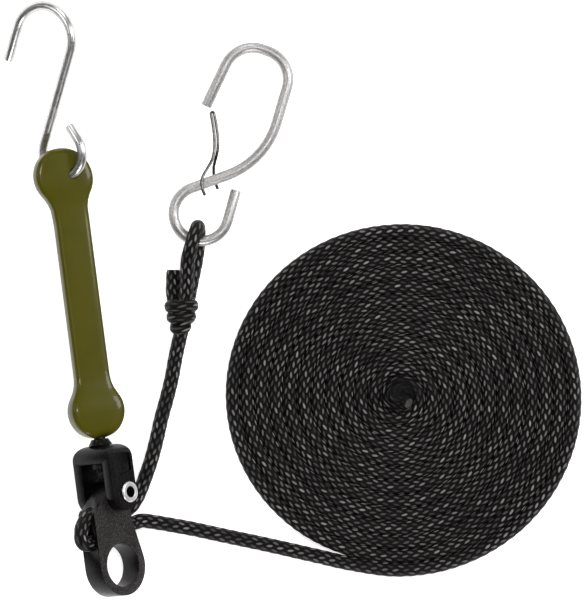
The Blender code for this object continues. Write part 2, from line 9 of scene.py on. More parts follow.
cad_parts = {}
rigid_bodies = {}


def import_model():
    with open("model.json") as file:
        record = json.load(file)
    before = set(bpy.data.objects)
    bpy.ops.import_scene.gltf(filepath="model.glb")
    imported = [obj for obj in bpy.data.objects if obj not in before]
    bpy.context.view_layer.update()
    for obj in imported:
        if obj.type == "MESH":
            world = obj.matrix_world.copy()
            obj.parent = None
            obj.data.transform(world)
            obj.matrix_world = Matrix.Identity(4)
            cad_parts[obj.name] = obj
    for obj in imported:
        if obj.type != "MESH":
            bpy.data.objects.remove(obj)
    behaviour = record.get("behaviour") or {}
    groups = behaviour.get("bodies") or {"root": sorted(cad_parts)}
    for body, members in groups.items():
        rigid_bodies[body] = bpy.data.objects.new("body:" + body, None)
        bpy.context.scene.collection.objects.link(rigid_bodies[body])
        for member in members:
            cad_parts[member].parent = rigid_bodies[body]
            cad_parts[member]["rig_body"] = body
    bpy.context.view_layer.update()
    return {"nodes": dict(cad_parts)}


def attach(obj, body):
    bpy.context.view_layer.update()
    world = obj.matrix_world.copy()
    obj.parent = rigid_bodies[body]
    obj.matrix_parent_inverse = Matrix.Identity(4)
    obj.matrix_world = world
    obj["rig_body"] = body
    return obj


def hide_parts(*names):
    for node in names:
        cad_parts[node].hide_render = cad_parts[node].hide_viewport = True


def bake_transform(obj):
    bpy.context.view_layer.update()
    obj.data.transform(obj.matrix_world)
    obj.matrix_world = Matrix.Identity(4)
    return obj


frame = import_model()
scene = bpy.context.scene
mm = 0.001
bpy.ops.object.select_all(action="DESELECT")
print("frame loaded")

# Where the straight chain of strap, stud and lock lies, and how its pieces are rolled
layout = {
    "chainPoint": (-130.0, -40.7, 13.7),   # lever pivot, on the chain
    "chainTilt": 7.4,
    "lockTurn": 45,
    "strapTurn": 20,
    "strapFoot": 24.8,                     # lever pivot to the strap's tip
    "snapCentre": (-88.7, 82.7, 8.1),
    "snapPitch": -4.0,
    "sHookCentre": (-149.47, 109.2, 13.7),
    "sHookTurn": (0, -34, 11),
}


def millimetres(point):
    return Vector(point) * mm


def turned(degrees, axis):
    return Matrix.Rotation(math.radians(degrees), 4, axis)


chainFrame = Matrix.Translation(millimetres(layout["chainPoint"])) @ turned(layout["chainTilt"], "Z")
lockFrame = chainFrame @ turned(layout["lockTurn"], "Y")
strapFrame = (chainFrame @ Matrix.Translation((0, layout["strapFoot"] * mm, 0))
              @ turned(layout["strapTurn"], "Y"))
snapFrame = Matrix.Translation(millimetres(layout["snapCentre"])) @ turned(layout["snapPitch"], "X")
sHookTurn = Euler([math.radians(a) for a in layout["sHookTurn"]]).to_matrix().to_4x4()
sHookFrame = Matrix.Translation(millimetres(layout["sHookCentre"])) @ sHookTurn


# Helpers for modelling

def onlySelect(obj):
    bpy.ops.object.select_all(action="DESELECT")
    obj.select_set(True)
    bpy.context.view_layer.objects.active = obj


def editAll(obj):
    onlySelect(obj)
    bpy.ops.object.mode_set(mode="EDIT")
    bpy.ops.mesh.select_mode(type="VERT")
    bpy.ops.mesh.select_all(action="SELECT")


def applyModifiers(obj):
    onlySelect(obj)
    for name in [m.name for m in obj.modifiers]:
        bpy.ops.object.modifier_apply(modifier=name)


def smoothByAngle(obj, degrees):
    onlySelect(obj)
    bpy.ops.object.shade_smooth_by_angle(angle=math.radians(degrees))


def closeEnds(obj):
    # fills the open rims left by a loft and turns every face outwards
    editAll(obj)
    bpy.ops.mesh.select_non_manifold(extend=False)
    bpy.ops.mesh.fill_holes(sides=0)
    bpy.ops.mesh.select_all(action="SELECT")
    bpy.ops.mesh.normals_make_consistent(inside=False)
    bpy.ops.object.mode_set(mode="OBJECT")


def ringStart(name, count):
    bpy.ops.object.select_all(action="DESELECT")
    bpy.ops.mesh.primitive_circle_add(vertices=count, radius=1 * mm)
    obj = bpy.context.object
    obj.name = obj.data.name = name
    editAll(obj)
    return obj


def loftRings(name, rings):
    # extrudes a ring of edges from section to section
    obj = ringStart(name, len(rings[0]))
    corners = list(bmesh.from_edit_mesh(obj.data).verts)
    for number, ring in enumerate(rings):
        if number:
            bpy.ops.mesh.extrude_region_move()
            fresh = {tuple(v.co): v for v in bmesh.from_edit_mesh(obj.data).verts if v.select}
            corners = [fresh[place] for place in last]
        for corner, place in zip(corners, ring):
            corner.co = place
        bmesh.update_edit_mesh(obj.data)
        last = [tuple(corner.co) for corner in corners]
    bpy.ops.object.mode_set(mode="OBJECT")
    closeEnds(obj)
    return obj


def placeMesh(obj, matrix):
    obj.data.transform(matrix)
    obj.data.update()
    return obj


def addModifier(obj, kind, **values):
    modifier = obj.modifiers.new(kind.lower(), kind)
    for key, value in values.items():
        setattr(modifier, key, value)


# Helpers for materials

def newMaterial(name, **values):
    material = bpy.data.materials.new(name)
    material.use_nodes = True
    shader = material.node_tree.nodes["Principled BSDF"]
    for key, value in values.items():
        socket = shader.inputs[key]
        socket.default_value = (*value, 1.0) if isinstance(value, tuple) else value
    return material, material.node_tree, shader


def mathNode(tree, operation, *values, clamp=False):
    node = tree.nodes.new("ShaderNodeMath")
    node.operation = operation
    node.use_clamp = clamp
    for socket, value in zip(node.inputs, values):
        if isinstance(value, (int, float)):
            socket.default_value = value
        else:
            tree.links.new(value, socket)
    return node.outputs[0]


def noiseNode(tree, scale, detail=3.0, roughness=0.5, stretch=(1, 1, 1)):
    place = tree.nodes.new("ShaderNodeTexCoord")
    mapping = tree.nodes.new("ShaderNodeMapping")
    mapping.inputs["Scale"].default_value = stretch
    noise = tree.nodes.new("ShaderNodeTexNoise")
    noise.inputs["Scale"].default_value = scale
    noise.inputs["Detail"].default_value = detail
    noise.inputs["Roughness"].default_value = roughness
    tree.links.new(place.outputs["Object"], mapping.inputs["Vector"])
    tree.links.new(mapping.outputs["Vector"], noise.inputs["Vector"])
    return noise.outputs["Fac"]


def rampNode(tree, factor, stops):
    ramp = tree.nodes.new("ShaderNodeValToRGB")
    elements = ramp.color_ramp.elements
    while len(elements) < len(stops):
        elements.new(0.5)
    for element, (place, colour) in zip(elements, stops):
        element.position = place
        element.color = (*colour, 1.0) if isinstance(colour, tuple) else (colour, colour, colour, 1.0)
    tree.links.new(factor, ramp.inputs["Fac"])
    return ramp.outputs["Color"]


def bumpNode(tree, shader, height, strength, distance):
    bump = tree.nodes.new("ShaderNodeBump")
    bump.inputs["Strength"].default_value = strength
    bump.inputs["Distance"].default_value = distance * mm
    tree.links.new(height, bump.inputs["Height"])
    tree.links.new(bump.outputs["Normal"], shader.inputs["Normal"])


oliveLook = {"colour": (0.078, 0.072, 0.0030), "dark": (0.070, 0.0645, 0.0022), "roughness": 0.3}
olive, tree, shader = newMaterial("mouldedOlive", Roughness=oliveLook["roughness"])
cloudy = noiseNode(tree, 90, 2)
tree.links.new(rampNode(tree, cloudy, [(0.3, oliveLook["dark"]), (0.6, oliveLook["colour"])]),
               shader.inputs["Base Color"])
shader.inputs["Specular IOR Level"].default_value = 0.12
shader.inputs["Coat Weight"].default_value = 0.16
shader.inputs["Coat Roughness"].default_value = 0.04
bumpNode(tree, shader, noiseNode(tree, 260, 2), 0.12, 0.12)

nylonLook = {"colour": (0.0022, 0.0017, 0.0016), "grey": (0.0060, 0.0050, 0.0048)}
nylon, tree, shader = newMaterial("satinNylon", Roughness=0.42)
shader.inputs["Specular IOR Level"].default_value = 0.17
tree.links.new(rampNode(tree, noiseNode(tree, 160, 4), [(0.35, nylonLook["colour"]),
                                                       (0.75, nylonLook["grey"])]),
               shader.inputs["Base Color"])
tree.links.new(rampNode(tree, noiseNode(tree, 700, 3), [(0.3, 0.24), (0.7, 0.36)]),
               shader.inputs["Roughness"])
bumpNode(tree, shader, noiseNode(tree, 1500, 3), 0.25, 0.06)

# the pale flecks on the grained face are painted highlights, sparkle on the raised grain
grainLook = {"colour": (0.0085, 0.0070, 0.0068), "paintedSparkle": (0.13, 0.12, 0.12)}
grainNylon, tree, shader = newMaterial("grainedNylon", Roughness=0.38)
shader.inputs["Specular IOR Level"].default_value = 0.16
tree.links.new(rampNode(tree, noiseNode(tree, 1700, 4, 0.7), [(0.45, grainLook["colour"]),
                                                             (0.82, grainLook["paintedSparkle"])]),
               shader.inputs["Base Color"])
bumpNode(tree, shader, noiseNode(tree, 1700, 4, 0.7), 0.5, 0.12)

zinc, tree, shader = newMaterial("brightZinc", Metallic=1.0)
shader.inputs["Specular Tint"].default_value = (0.15, 0.15, 0.15, 1)
tree.links.new(rampNode(tree, noiseNode(tree, 300, 4), [(0.3, (0.60, 0.59, 0.58)),
                                                       (0.7, (0.80, 0.795, 0.79))]),
               shader.inputs["Base Color"])
tree.links.new(rampNode(tree, noiseNode(tree, 900, 3), [(0.3, 0.26), (0.7, 0.36)]),
               shader.inputs["Roughness"])
bumpNode(tree, shader, noiseNode(tree, 500, 2), 0.06, 0.05)

galvanised, tree, shader = newMaterial("greyGalvanised", Metallic=0.9)
shader.inputs["Specular Tint"].default_value = (0.1, 0.1, 0.1, 1)
tree.links.new(rampNode(tree, noiseNode(tree, 1300, 5, 0.65), [(0.35, (0.36, 0.35, 0.345)),
                                                              (0.62, (0.62, 0.61, 0.605))]),
               shader.inputs["Base Color"])
tree.links.new(rampNode(tree, noiseNode(tree, 800, 3), [(0.3, 0.34), (0.7, 0.52)]),
               shader.inputs["Roughness"])
bumpNode(tree, shader, noiseNode(tree, 1300, 5, 0.65), 0.3, 0.08)

springSteel, tree, shader = newMaterial("springSteel", Metallic=1.0, Roughness=0.35)
shader.inputs["Specular Tint"].default_value = (0.15, 0.15, 0.15, 1)
tree.links.new(rampNode(tree, noiseNode(tree, 900, 3), [(0.3, (0.05, 0.047, 0.045)),
                                                       (0.7, (0.13, 0.125, 0.12))]),
               shader.inputs["Base Color"])

rivetSteel, tree, shader = newMaterial("platedRivet", Metallic=1.0, Roughness=0.36)
tree.links.new(rampNode(tree, noiseNode(tree, 500, 3), [(0.3, (0.78, 0.78, 0.78)),
                                                       (0.7, (0.88, 0.88, 0.88))]),
               shader.inputs["Base Color"])
# near-black steel that is painted shade: the inside of the rivet's tube and the retainer hidden in the
# housing
paintedShadeSteel, tree, shader = newMaterial("steelPaintedAsShade", Metallic=0.9, Roughness=0.45)
tree.links.new(rampNode(tree, noiseNode(tree, 700, 3), [(0.3, (0.012, 0.012, 0.012)),
                                                       (0.7, (0.04, 0.04, 0.04))]),
               shader.inputs["Base Color"])

# The braid: strands cross in columns round the rope, and each column is half a step along. The glints on
# the crowns are painted highlights in the base colour, and the grooves are painted shade.
braid = {
    "columns": 12,
    "period": 4.7,        # mm along the rope from crown to crown in one column
    "slant": 0.4,         # lean of each crown
    "depth": 0.20,        # mm from crown to groove
    "filaments": 44.0,    # fine lines across a strand
    "glintFrom": 0.42,    # crown height where the painted highlight starts
    "glintGain": 3.4,
    "dullest": 0.15,      # least painted highlight that a crown can have
    "otherFamily": -0.35,   # painted highlight lost on every second column
    # the grooves between the crowns are painted darker, as shade
    "dark": (0.0013, 0.0010, 0.0010),
    "fibre": (0.0085, 0.0070, 0.0068),
    # colour of the painted highlight on the crowns
    "crown": (0.36, 0.335, 0.33),
    "centre": (0.2, 3.8),       # mm, the coil's hollow middle, where shade is painted
    "paintedShadeCentre": (5.0, 8.5),   # mm from it: painted shade with no painted highlight inside the first, full painted highlight past the second
}
rope, tree, shader = newMaterial("braidedRope", Roughness=0.5)
shader.inputs["Specular IOR Level"].default_value = 0.14
uvNode = tree.nodes.new("ShaderNodeUVMap")
uvNode.uv_map = "braid"
split = tree.nodes.new("ShaderNodeSeparateXYZ")
tree.links.new(uvNode.outputs["UV"], split.inputs["Vector"])
along = split.outputs["X"]
around = mathNode(tree, "MULTIPLY", split.outputs["Y"], braid["columns"])
column = mathNode(tree, "FLOOR", around)
across = mathNode(tree, "SUBTRACT", mathNode(tree, "SUBTRACT", around, column), 0.5)
odd = mathNode(tree, "MODULO", column, 2.0)
lean = mathNode(tree, "MULTIPLY", mathNode(tree, "MULTIPLY_ADD", odd, -2.0, 1.0), braid["slant"])
stepped = mathNode(tree, "MULTIPLY_ADD", odd, 0.5, along)
slanted = mathNode(tree, "SUBTRACT", stepped, mathNode(tree, "MULTIPLY", across, lean))
cell = mathNode(tree, "FLOOR", slanted)
lengthwise = mathNode(tree, "SUBTRACT", mathNode(tree, "SUBTRACT", slanted, cell), 0.5)
bulgeAcross = mathNode(tree, "COSINE", mathNode(tree, "MULTIPLY", across, math.pi))
wave = mathNode(tree, "COSINE", mathNode(tree, "MULTIPLY", lengthwise, 2 * math.pi))
bulgeAlong = mathNode(tree, "MULTIPLY_ADD", wave, 0.5, 0.5)
crown = mathNode(tree, "MULTIPLY", bulgeAcross, bulgeAlong)
filament = mathNode(tree, "SINE", mathNode(tree, "MULTIPLY", across, braid["filaments"]))
cellPlace = tree.nodes.new("ShaderNodeCombineXYZ")
tree.links.new(column, cellPlace.inputs["X"])
tree.links.new(cell, cellPlace.inputs["Y"])
chance = tree.nodes.new("ShaderNodeTexWhiteNoise")
chance.noise_dimensions = "2D"
tree.links.new(cellPlace.outputs["Vector"], chance.inputs["Vector"])
# painted highlights: the crowns' tops are mixed towards a pale colour in the base colour
glint = mathNode(tree, "SUBTRACT", crown, braid["glintFrom"])
glint = mathNode(tree, "MULTIPLY", glint, braid["glintGain"], clamp=True)
luck = mathNode(tree, "MULTIPLY_ADD", mathNode(tree, "POWER", chance.outputs["Value"], 1.5),
                1 - braid["dullest"], braid["dullest"])
familyShare = mathNode(tree, "MULTIPLY_ADD", odd, braid["otherFamily"], 1.0)
glint = mathNode(tree, "MULTIPLY", mathNode(tree, "MULTIPLY", glint, luck), familyShare)
# painted shade in the coil's hollow: the painted highlights fade out near its middle
reach = tree.nodes.new("ShaderNodeTexCoord")
level = tree.nodes.new("ShaderNodeVectorMath")
level.operation = "MULTIPLY"
level.inputs[1].default_value = (1, 1, 0)
tree.links.new(reach.outputs["Object"], level.inputs[0])
span = tree.nodes.new("ShaderNodeVectorMath")
span.operation = "DISTANCE"
tree.links.new(level.outputs["Vector"], span.inputs[0])
span.inputs[1].default_value = (braid["centre"][0] * mm, braid["centre"][1] * mm, 0)
middle = tree.nodes.new("ShaderNodeMapRange")
middle.inputs["From Min"].default_value = braid["paintedShadeCentre"][0] * mm
middle.inputs["From Max"].default_value = braid["paintedShadeCentre"][1] * mm
tree.links.new(span.outputs["Value"], middle.inputs["Value"])
glint = mathNode(tree, "MULTIPLY", glint, middle.outputs["Result"])
streaky = mathNode(tree, "MULTIPLY_ADD", filament, 0.2, 0.8)
glint = mathNode(tree, "MULTIPLY", glint, streaky, clamp=True)
# painted shade: the base colour darkens from each crown down into its groove
body = rampNode(tree, crown, [(0.15, braid["dark"]), (0.8, braid["fibre"])])
mix = tree.nodes.new("ShaderNodeMix")
mix.data_type = "RGBA"
tree.links.new(glint, mix.inputs["Factor"])
tree.links.new(body, mix.inputs["A"])
mix.inputs["B"].default_value = (*braid["crown"], 1.0)
tree.links.new(mix.outputs["Result"], shader.inputs["Base Color"])
relief = mathNode(tree, "MULTIPLY_ADD", filament, 0.06, crown)
bumpNode(tree, shader, relief, 0.9, 0.45)

meltedEnd, tree, shader = newMaterial("meltedEnd", Roughness=0.35)
tree.links.new(rampNode(tree, noiseNode(tree, 900, 3), [(0.3, (0.03, 0.028, 0.027)),
                                                       (0.7, (0.10, 0.095, 0.09))]),
               shader.inputs["Base Color"])
bumpNode(tree, shader, noiseNode(tree, 900, 3), 0.4, 0.3)
print("materials made")


# Rope: settings and helpers

ropeLook = {"diameter": 6.3, "sides": 24, "height": 3.25, "plump": 0.16}
sectionStep = braid["period"] / 6


def lockPoint(x, y):
    place = lockFrame @ millimetres((x, y, 0))
    return tuple(place / mm)


def smoothRoute(points, step):
    # an even run of points along a smooth curve through the route
    knots = np.array(points, float)
    ends = np.vstack([2 * knots[0] - knots[1], knots, 2 * knots[-1] - knots[-2]])
    dense = [knots[:1]]
    for a, b, c, d in zip(ends, ends[1:], ends[2:], ends[3:]):
        t = np.linspace(0, 1, 41)[1:, None]
        dense.append(0.5 * (2 * b + (c - a) * t + (2 * a - 5 * b + 4 * c - d) * t ** 2
                            + (3 * b - a - 3 * c + d) * t ** 3))
    dense = np.vstack(dense)
    run = np.concatenate([[0], np.cumsum(np.linalg.norm(np.diff(dense, axis=0), axis=1))])
    count = max(4, round(run[-1] / step))
    places = np.linspace(0, run[-1], count + 1)
    return np.column_stack([np.interp(places, run, dense[:, k]) for k in range(3)])


def pathLength(path):
    return float(np.linalg.norm(np.diff(path, axis=0), axis=1).sum())


def steadyFrames(points):
    # a side direction carried along the line without twisting
    tangents = np.gradient(points, axis=0)
    tangents /= np.linalg.norm(tangents, axis=1)[:, None]
    side = np.cross(tangents[0], (0.0, 0.0, 1.0))
    if np.linalg.norm(side) < 0.1:
        side = np.cross(tangents[0], (0.0, 1.0, 0.0))
    sides = []
    for tangent in tangents:
        side = side - tangent * (side @ tangent)
        side /= np.linalg.norm(side)
        sides.append(side)
    sides = np.array(sides)
    return sides, np.cross(sides, tangents)


def braidHeight(along, around):
    # the same crowns as in the braid's material, from 0 in a groove to 1 on a crown
    columns = around * braid["columns"]
    number = np.floor(columns + 1e-6)
    across = columns - number - 0.5
    odd = np.mod(number, 2)
    slanted = along + 0.5 * odd - across * braid["slant"] * (1 - 2 * odd)
    lengthwise = slanted - np.floor(slanted) - 0.5
    return np.cos(math.pi * across) * (0.5 + 0.5 * np.cos(2 * math.pi * lengthwise))


def makeRope(name, route, thin=1.0, taper=(0, 0)):
    # a closed tube with the braid's crowns raised on it; the route is in mm, the path given back in metres
    points = smoothRoute(route, sectionStep)
    sides, ups = steadyFrames(points)
    count = len(points)
    around = (np.arange(ropeLook["sides"]) + 0.5) / ropeLook["sides"]
    along = np.arange(count) * sectionStep / braid["period"]
    heights = braidHeight(along[:, None], around[None, :])
    radius = (ropeLook["diameter"] / 2 + ropeLook["plump"]) * thin - braid["depth"] * (1 - heights)
    ends = np.ones(count)
    for place, share in ((0, taper[0]), (count - 1, taper[1])):
        if share:
            near = np.abs(np.arange(count) - place)
            ends = np.minimum(ends, np.where(near < 2, (1 - share) + share * near / 2, 1))
    radius = radius * ends[:, None]
    angles = 2 * math.pi * around
    rings = (points[:, None, :]
             + radius[:, :, None] * (np.cos(angles)[None, :, None] * sides[:, None, :]
                                     + np.sin(angles)[None, :, None] * ups[:, None, :]))
    verts = rings.reshape(-1, 3) * mm
    n = ropeLook["sides"]
    i, j = np.meshgrid(np.arange(count - 1), np.arange(n), indexing="ij")
    nextJ = (j + 1) % n
    quads = np.stack([i * n + j, i * n + nextJ, (i + 1) * n + nextJ, (i + 1) * n + j], axis=-1)
    faces = [tuple(int(v) for v in q) for q in quads.reshape(-1, 4)]
    first = tuple(range(n))[::-1]
    final = tuple(range((count - 1) * n, count * n))
    mesh = bpy.data.meshes.new(name)
    mesh.from_pydata([tuple(v) for v in verts], [], faces + [first, final])
    uv = mesh.uv_layers.new(name="braid")
    u0, u1 = along[i], along[i + 1]
    v0 = around[j]
    v1 = v0 + 1.0 / n
    flat = np.stack([np.stack([u0, v0], -1), np.stack([u0, v1], -1),
                     np.stack([u1, v1], -1), np.stack([u1, v0], -1)], axis=-2).reshape(-1, 2)
    flat = np.vstack([flat, np.zeros((2 * n, 2))])
    uv.data.foreach_set("uv", flat.astype(np.float32).ravel())
    obj = bpy.data.objects.new(name, mesh)
    scene.collection.objects.link(obj)
    mesh.materials.append(rope)
    mesh.materials.append(meltedEnd)
    mesh.polygons[-1].material_index = 1
    mesh.polygons[-2].material_index = 1
    editAll(obj)
    bpy.ops.mesh.normals_make_consistent(inside=False)
    bpy.ops.object.mode_set(mode="OBJECT")
    for face in mesh.polygons:
        face.use_smooth = face.material_index == 0
    return obj, points * mm


ground = ropeLook["height"]
passage = {"upper": -8.1, "lowerBack": -14.9, "lowerFront": -20.2, "back": 8.2, "front": -14.0}
slope = (passage["lowerBack"] - passage["lowerFront"]) / (passage["back"] - passage["front"])

wrapRoute = [(6.5, passage["upper"]), (0, passage["upper"]), (-10, passage["upper"]),
             (-14, passage["upper"] - 1.2), (-17.2, passage["upper"] - 4.2),
             (-18.6, passage["upper"] - 8.2), (-17.9, passage["lowerFront"] + 0.6),
             (passage["front"], passage["lowerFront"]), (-3, passage["lowerFront"] + slope * 12),
             (6.5, passage["lowerBack"] - slope * 1.7)]
ropeWrap = makeRope("ropeWrap", [lockPoint(x, y) for x, y in wrapRoute])[0]
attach(ropeWrap, "lever")
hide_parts("rope_lock_wrap")

leadRoute = [lockPoint(6.9, passage["upper"]), lockPoint(8.8, passage["upper"]),
             lockPoint(10.8, passage["upper"]), (-118.7, -45.1, 4.7), (-116.4, -41.2, 3.6),
             (-114.6, -36.8, ground), (-112.7, -31.6, ground), (-110.9, -26.4, ground),
             (-109.3, -20.6, ground), (-107.8, -14.4, ground), (-106.2, -7.2, ground),
             (-103.9, 1.2, ground), (-101.7, 10.2, ground), (-100.0, 19.5, 3.8),
             (-98.2, 27.6, 5.6), (-97.4, 31.0, 6.8)]
ropeLead, leadPath = makeRope("ropeLead", leadRoute)

exitY = passage["lowerBack"]
tailRoute = [lockPoint(6.9, exitY - slope * 1.3), lockPoint(8.8, exitY + slope * 0.6),
             lockPoint(10.8, exitY + slope * 2.6),
             (-118.3, -53.5, 4.3), (-115.0, -52.5, 3.5), (-111.0, -52.9, ground),
             (-104.3, -54.0, ground), (-93.1, -56.0, ground), (-78.2, -59.2, ground),
             (-57.9, -63.5, ground), (-38.6, -67.9, ground)]

coil = {"startRadius": 76.3, "startAngle": 255, "pitch": 6.05, "centre": (-1.1, 2.0), "oval": 1.03,
        "turns": 11.944}
turns = coil["turns"]
angle = math.radians(coil["startAngle"])
coilPoints = round(turns * 26)
for number in range(coilPoints + 1):
    turn = turns * 2 * math.pi * number / coilPoints
    radius = coil["startRadius"] - coil["pitch"] * turn / (2 * math.pi)
    tailRoute.append((coil["centre"][0] + coil["oval"] * radius * math.cos(angle + turn),
                      coil["centre"][1] + radius * math.sin(angle + turn), ground))
coilTuck = [(-0.6, -3.9, 0.1), (1.6, -3.4, 0.4), (3.0, -1.8, 0.9), (3.5, 0.2, 1.6), (2.9, 2.2, 2.4),
            (1.2, 3.5, 3.2), (-0.9, 3.6, 4.0), (-2.7, 2.4, 4.7), (-3.2, 0.6, 5.1), (-2.0, -0.6, 5.3),
            (0.2, -0.9, 5.4), (2.2, -1.7, 5.9), (3.7, -2.7, 7.2)]   # the inner end, brought over the middle
for dx, dy, rise in coilTuck:
    tailRoute.append((coil["centre"][0] + dx, coil["centre"][1] + dy, ground + rise))
ropeTail, tailPath = makeRope("ropeTail", tailRoute, taper=(0, 0.3))
print("rope laid,", round(pathLength(tailPath), 3), "m in the tail")

# Eye round the snap hook, cut end and knot
eyeRoute = [(-95.8, 42.0, 9.6), (-95.3, 47.0, 10.3), (-94.8, 54.0, 11.6), (-94.5, 62.0, 13.6),
            (-92.6, 69.6, 14.7), (-90.9, 74.8, 13.1), (-90.2, 76.9, 8.9), (-89.9, 75.4, 4.4),
            (-90.0, 69.4, ground), (-91.0, 62.0, ground), (-92.6, 54.0, ground),
            (-94.0, 47.0, ground), (-95.0, 42.0, ground + 1)]
ropeEye = makeRope("ropeEye", eyeRoute, thin=0.98)[0]
cutRoute = [(-99.6, 41.0, 5.4), (-101.0, 47.4, 4.6), (-101.0, 52.0, 4.0), (-100.9, 58.0, 3.9)]
ropeCutEnd = makeRope("ropeCutEnd", cutRoute, taper=(0, 0.12))[0]

knotRoute = []
knotLook = {"low": (-96.9, 31.5, 7.0), "high": (-97.4, 46.0, 7.6), "wraps": 3.1, "radius": (1.7, 4.7),
            "lean": 1.3, "collar": 0.8, "points": 97}
for number in range(knotLook["points"]):
    share = number / (knotLook["points"] - 1)
    turn = 2 * math.pi * knotLook["wraps"] * share
    middle = Vector(knotLook["low"]).lerp(Vector(knotLook["high"]), share)
    small, large = knotLook["radius"]
    swell = small + (large - small) * min(1, share / 0.7) ** 0.8
    swell -= 1.5 * max(0, share - knotLook["collar"]) / (1 - knotLook["collar"])
    knotRoute.append((middle.x + swell * math.cos(turn), middle.y + knotLook["lean"] * math.cos(turn),
                      max(3.1, middle.z + swell * 0.95 * math.sin(turn))))
ropeKnot = makeRope("ropeKnot", knotRoute, thin=0.92, taper=(0.4, 0.4))[0]
for piece in (ropeEye, ropeCutEnd, ropeKnot):
    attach(piece, "lock")
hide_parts("rope_eye")
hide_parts("rope_cut_end")
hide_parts("rope_knot")

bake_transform(ropeLead)
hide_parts("rope_lead_entry", "rope_lead")
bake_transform(ropeTail)
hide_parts("rope_tail_exit", "rope_tail", "rope_coil")

# Stretch strap, one moulding

strap = {
    "length": 128.8, "bandWidth": 15.6, "bandThick": 6.4, "headRadius": 13.1, "headThick": 7.6,
    "footRadius": 12.3, "footThick": 10.5, "roundness": 6.5, "sides": 48,
    "hollow": 16.0,              # radius of the shoulders
    "lean": 4.0,                 # degrees, of the head against the band
    "footEase": (12, 27),        # from the tip, where the thick end runs out into the band
    "headEase": (14, 28),
    "footTip": 3.4,              # length over which each tip rounds off
    "headTip": 2.6,
    "stretch": (29, 100),        # from the foot's tip, the band that stretches
    "tunnel": (10.5, 2.35),      # radii of the hole that the S-hook's loop goes through
}


def shoulderHeight(endRadius):
    reach = endRadius + strap["hollow"]
    return math.sqrt(reach ** 2 - (strap["bandWidth"] / 2 + strap["hollow"]) ** 2)


def halfWidth(fromTip, endRadius):
    rise = shoulderHeight(endRadius)
    touch = endRadius + rise * endRadius / (endRadius + strap["hollow"])
    if fromTip <= touch:
        return math.sqrt(max(0.0, endRadius ** 2 - (endRadius - fromTip) ** 2))
    if fromTip < endRadius + rise:
        drop = endRadius + rise - fromTip
        return strap["bandWidth"] / 2 + strap["hollow"] - math.sqrt(strap["hollow"] ** 2 - drop ** 2)
    return strap["bandWidth"] / 2


def easeBetween(value, low, high):
    share = min(1.0, max(0.0, (value - low) / (high - low)))
    return share * share * (3 - 2 * share)


def strapSection(y):
    length = strap["length"]
    fromFoot, fromHead = y, length - y
    if fromFoot < length / 2:
        width = halfWidth(fromFoot, strap["footRadius"])
        thick = strap["footThick"]
        thick += (strap["bandThick"] - thick) * easeBetween(fromFoot, *strap["footEase"])
        tip = fromFoot / strap["footTip"]
        shift = 0.0
    else:
        width = halfWidth(fromHead, strap["headRadius"])
        thick = strap["headThick"]
        thick += (strap["bandThick"] - thick) * easeBetween(fromHead, *strap["headEase"])
        tip = fromHead / strap["headTip"]
        headLow = length - strap["headRadius"] - shoulderHeight(strap["headRadius"]) - 1.0
        shift = -math.tan(math.radians(strap["lean"])) * max(0.0, y - headLow)
    thick = thick / 2 * math.sqrt(max(0.0, 1 - max(0.0, 1 - tip) ** 2))
    ring = []
    power = 2 / strap["roundness"]
    for k in range(strap["sides"]):
        turn = 2 * math.pi * k / strap["sides"]
        c, s = math.cos(turn), math.sin(turn)
        ring.append(strapFrame @ millimetres((shift + width * math.copysign(abs(c) ** power, c), y,
                                              thick * math.copysign(abs(s) ** power, s))))
    return ring


tipSteps = [0.02, 0.25, 0.6, 1.1, 1.8, 2.7, 3.8, 5.2, 6.8, 8.6, 10.6, 12.8, 15, 17.2, 19.4, 21.6, 24, 27]
bandSteps = [32 + 7.0 * k for k in range(10)]
stations = tipSteps + bandSteps + [strap["length"] - s for s in reversed(tipSteps)]
strapBody = loftRings("strapMoulding", [strapSection(y) for y in sorted(stations)])
bpy.ops.object.select_all(action="DESELECT")
tunnelLoop, tunnelBore = strap["tunnel"]
bpy.ops.mesh.primitive_torus_add(major_radius=tunnelLoop * mm, minor_radius=tunnelBore * mm,
                                 major_segments=72, minor_segments=20)
tunnel = bpy.context.object
placeMesh(tunnel, sHookFrame)
addModifier(strapBody, "BOOLEAN", object=tunnel, operation="DIFFERENCE", solver="EXACT")
applyModifiers(strapBody)
bpy.data.objects.remove(tunnel)
smoothByAngle(strapBody, 50)
strapBody.data.materials.append(olive)
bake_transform(strapBody)
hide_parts("strap_head", "strap_band", "strap_foot")
print("strap moulded")

# Bent wire pieces. Each step is a straight length in mm, or a bend as (degrees, radius).


